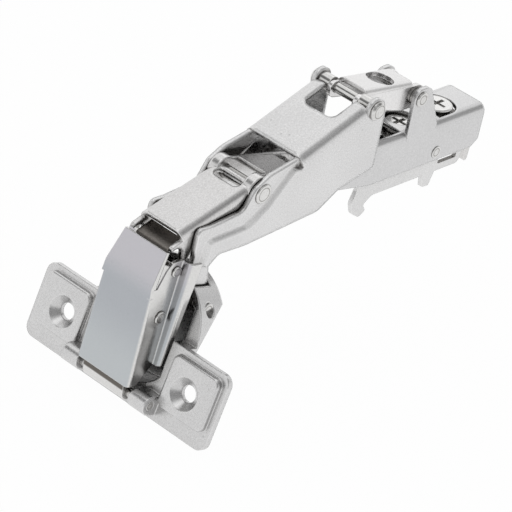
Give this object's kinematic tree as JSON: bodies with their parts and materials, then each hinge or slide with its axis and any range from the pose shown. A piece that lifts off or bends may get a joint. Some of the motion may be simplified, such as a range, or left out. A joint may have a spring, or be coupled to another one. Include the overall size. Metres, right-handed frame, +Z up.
{
  "type": "cabinet hinge",
  "caption": "Wide-angle concealed cabinet hinge in nickel-plated steel: clip-on arm, crossed levers, cover link and flanged cup that swing a door from open to shut.",
  "frame": {"origin": "middle of the clip carrier's underside, on the hinge's middle plane, where the arm clips on its plate", "axes": "+X along the arm towards the cup, +Y across the hinge along its pins, +Z up from the cabinet side"},
  "size_m": [0.1366, 0.0666, 0.0735],
  "materials": {
    "nickel_sheet": "bright nickel plate over pressed sheet, faint grain",
    "nickel_cup": "bright nickel plate with a satin pressed face",
    "nickel_pin": "polished nickel plate",
    "nickel_screw": "nickel plate with turned faces",
    "nickel_latch": "nickel plate over pressed sheet",
    "spring_steel": "dark tempered spring steel"
  },
  "bodies": {
    "arm": {"arm_channel": "nickel_sheet", "clip_carrier": "nickel_sheet", "latch_pin": "nickel_pin", "latch_spring": "spring_steel", "bridge_rear_pin": "nickel_pin", "bridge_washers": "nickel_pin", "inner_rear_pin": "nickel_pin"},
    "depth_adjuster": {"depth_screw": "nickel_screw"},
    "side_adjuster": {"side_screw": "nickel_screw"},
    "latch": {"clip_latch": "nickel_latch"},
    "inner": {"inner_lever": "nickel_sheet"},
    "bridge": {"bridge_link": "nickel_sheet"},
    "outer": {"outer_lever": "nickel_sheet", "bridge_front_pin": "nickel_pin", "pin_collars": "nickel_pin", "lever_rivet": "nickel_pin"},
    "cup_body": {"cup": "nickel_cup", "cup_pin": "nickel_pin", "cover_hinge_pin": "nickel_pin"},
    "cover": {"cover_link": "nickel_sheet", "cover_pin": "nickel_pin", "spring_rivet": "nickel_pin", "closing_spring": "spring_steel"}
  },
  "joints": [
    {"name": "door_swing", "type": "hinge", "parent": "arm", "child": "inner", "pos_m": [0.0382, 0, 0.0128], "axis": [0, -1, 0], "range_deg": [0, 138]},
    {"name": "bridge_swing", "type": "hinge", "parent": "arm", "child": "bridge", "pos_m": [-0.0012, 0, 0.0278], "axis": [0, -1, 0], "range_deg": [0, 138]},
    {"name": "outer_swing", "type": "hinge", "parent": "inner", "child": "outer", "pos_m": [0.062, 0, 0.017], "axis": [0, -1, 0], "range_deg": [-138, 0]},
    {"name": "cup_swing", "type": "hinge", "parent": "outer", "child": "cup_body", "pos_m": [0.0808, 0, -0.0098], "axis": [0, -1, 0], "range_deg": [0, 165]},
    {"name": "cover_swing", "type": "hinge", "parent": "cup_body", "child": "cover", "pos_m": [0.0983, 0, -0.0328], "axis": [0, -1, 0], "range_deg": [-138.4, 0]},
    {"name": "depth_turn", "type": "hinge", "parent": "arm", "child": "depth_adjuster", "pos_m": [-0.02, 0, 0.0142], "axis": [0, 0, 1], "continuous": true},
    {"name": "side_turn", "type": "hinge", "parent": "arm", "child": "side_adjuster", "pos_m": [-0.004, 0, 0.0142], "axis": [0, 0, 1], "continuous": true},
    {"name": "latch_release", "type": "hinge", "parent": "arm", "child": "latch", "pos_m": [-0.0141, 0, 0.0078], "axis": [0, 1, 0], "range_deg": [0, 7]}
  ],
  "couplings": [
    {"joint": "bridge_swing", "follows": "door_swing", "ratio": 1},
    {"joint": "outer_swing", "follows": "door_swing", "ratio": -1},
    {"joint": "cup_swing", "follows": "door_swing", "ratio": 1.1957},
    {"joint": "cover_swing", "follows": "door_swing", "ratio": -1.0023}
  ]
}
